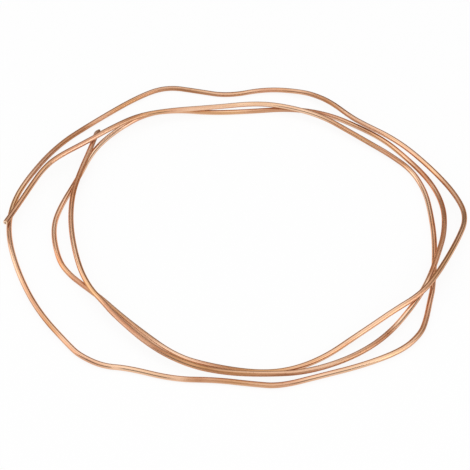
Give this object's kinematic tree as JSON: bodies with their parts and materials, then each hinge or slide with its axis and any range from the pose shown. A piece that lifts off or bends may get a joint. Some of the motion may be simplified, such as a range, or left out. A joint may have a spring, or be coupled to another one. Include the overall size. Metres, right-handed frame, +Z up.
{
  "type": "copper tube coil",
  "caption": "Loose coil of soft round copper tube with an open bore, bent by hand into wavy turns that lie flat on each other, with the outer end cut square and the inner one snipped at a slant.",
  "frame": {"origin": "on the floor under the middle of the coil's footprint", "axes": "+X along the coil's longer way across, +Y away from the viewer of the picture, +Z up"},
  "size_m": [0.3535, 0.3368, 0.013],
  "materials": {
    "copper": "bright drawn, lightly tarnished"
  },
  "bodies": {
    "root": {"copper_tube": "copper"}
  },
  "joints": []
}
